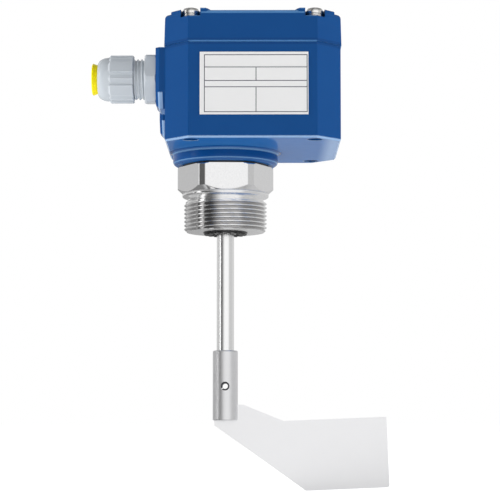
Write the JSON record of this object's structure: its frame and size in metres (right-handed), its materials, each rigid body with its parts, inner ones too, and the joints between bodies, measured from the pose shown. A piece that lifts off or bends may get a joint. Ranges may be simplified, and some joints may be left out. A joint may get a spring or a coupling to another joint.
{
  "type": "rotary paddle level switch",
  "caption": "Rotary paddle level switch: blue cast housing with cable gland, stainless pipe-thread connection, long shaft and a flat sheet vane; geared motor and switches inside.",
  "frame": {"origin": "where the shaft's axis meets the sealing face under the hexagon", "axes": "+Z along the shaft towards the housing; +X from the shaft's axis to the free end of the vane; -Y towards the side with the rating plate"},
  "size_m": [0.1686, 0.099, 0.2679],
  "materials": {
    "blue_casting": "glossy mid blue powder coat",
    "blue_plastic": "glossy",
    "stainless": "fine turned",
    "stainless_satin": "satin",
    "black_rubber": "matt",
    "zinc_steel": "zinc plated",
    "bearing_steel": "ground",
    "spring_steel": "drawn",
    "bronze": "turned",
    "brass": "bright",
    "aluminium_plate": "satin",
    "nickel_can": "drawn can",
    "grey_plastic": "semi-gloss light grey",
    "white_plastic": "smooth",
    "white_label": "white film",
    "black_plastic": "matt",
    "red_plastic": "smooth",
    "fibre": "pressed fibre",
    "green_board": "lacquered",
    "green_plastic": "moulded",
    "clear_blue_plastic": "moulded",
    "yellow_plastic": "moulded",
    "yellow_soft_plastic": "soft moulded, bright yellow"
  },
  "bodies": {
    "housing": {"housing_body": "blue_casting", "process_connection": "stainless", "connection_gasket": "black_rubber", "connection_ring_nut": "zinc_steel", "lower_bush": "bronze", "bearing_outer_ring": "bearing_steel", "bearing_circlip": "spring_steel", "shaft_seal": "black_rubber", "lid_gasket": "black_rubber", "rating_plate": "white_label", "gland_body": "grey_plastic", "gland_seal": "black_rubber", "blanking_plug": "blue_plastic", "mechanism_plate": "zinc_steel", "pivot_collar": "bronze", "thrust_washer": "white_plastic", "plate_screws": "zinc_steel", "stop_pin": "spring_steel", "signal_switch": "black_plastic", "motor_switch": "black_plastic", "switch_insulator": "fibre", "switch_terminals": "brass", "switch_screws": "zinc_steel", "spring_anchor": "zinc_steel", "return_spring": "spring_steel", "circuit_board": "green_board", "board_screws": "zinc_steel", "terminal_block": "green_plastic", "terminal_screws": "zinc_steel", "relay": "clear_blue_plastic", "capacitor": "yellow_plastic", "earth_screw": "brass"},
    "motor_unit": {"swing_plate": "aluminium_plate", "spring_peg": "brass", "gearbox_case": "zinc_steel", "motor_can": "nickel_can", "motor_screws": "zinc_steel", "switch_cam": "white_plastic"},
    "shaft": {"shaft": "stainless", "shaft_circlips": "spring_steel", "bearing_inner_ring": "bearing_steel", "bearing_balls": "bearing_steel", "clutch_hub": "bronze", "friction_disc": "fibre", "drive_flange": "zinc_steel", "output_shaft": "bearing_steel", "vane_sleeve": "stainless_satin", "spring_pin": "stainless", "vane": "stainless_satin"},
    "lid": {"lid": "blue_casting", "lid_screws": "stainless", "lid_spring_washers": "stainless", "lid_washers": "stainless"},
    "dome_nut": {"dome_nut": "grey_plastic"},
    "dust_plug": {"dust_plug": "yellow_soft_plastic"},
    "signal_plunger": {"signal_plunger": "red_plastic"},
    "motor_plunger": {"motor_plunger": "red_plastic"}
  },
  "joints": [
    {"name": "vane_spin", "type": "hinge", "parent": "housing", "child": "shaft", "pos_m": [0, 0, 0], "axis": [0, 0, 1], "continuous": true},
    {"name": "motor_swing", "type": "hinge", "parent": "housing", "child": "motor_unit", "pos_m": [0, 0, 0.055], "axis": [0, 0, 1], "range_deg": [0, 15], "stiffness_Nm_per_rad": 0.06, "springref_deg": -14.9, "deforming": ["return_spring"]},
    {"name": "signal_plunger_travel", "type": "slide", "parent": "housing", "child": "signal_plunger", "axis": [1, 0, 0], "range_m": [0, 0.001]},
    {"name": "motor_plunger_travel", "type": "slide", "parent": "housing", "child": "motor_plunger", "axis": [1, 0, 0], "range_m": [0, 0.001]},
    {"name": "lid_lift", "type": "slide", "parent": "housing", "child": "lid", "axis": [0, 0, 1], "range_m": [0, 0.09]},
    {"name": "dome_nut_turn", "type": "hinge", "parent": "housing", "child": "dome_nut", "pos_m": [-0.05, -0.029, 0.0639], "axis": [-1, 0, 0], "range_deg": [0, 720]},
    {"name": "dust_plug_pull", "type": "slide", "parent": "dome_nut", "child": "dust_plug", "axis": [-1, 0, 0], "range_m": [0, 0.03]}
  ],
  "couplings": [
    {"joint": "signal_plunger_travel", "follows": "motor_swing", "m_per_rad": 0.0038},
    {"joint": "motor_plunger_travel", "follows": "motor_swing", "m_per_rad": 0.0038}
  ]
}
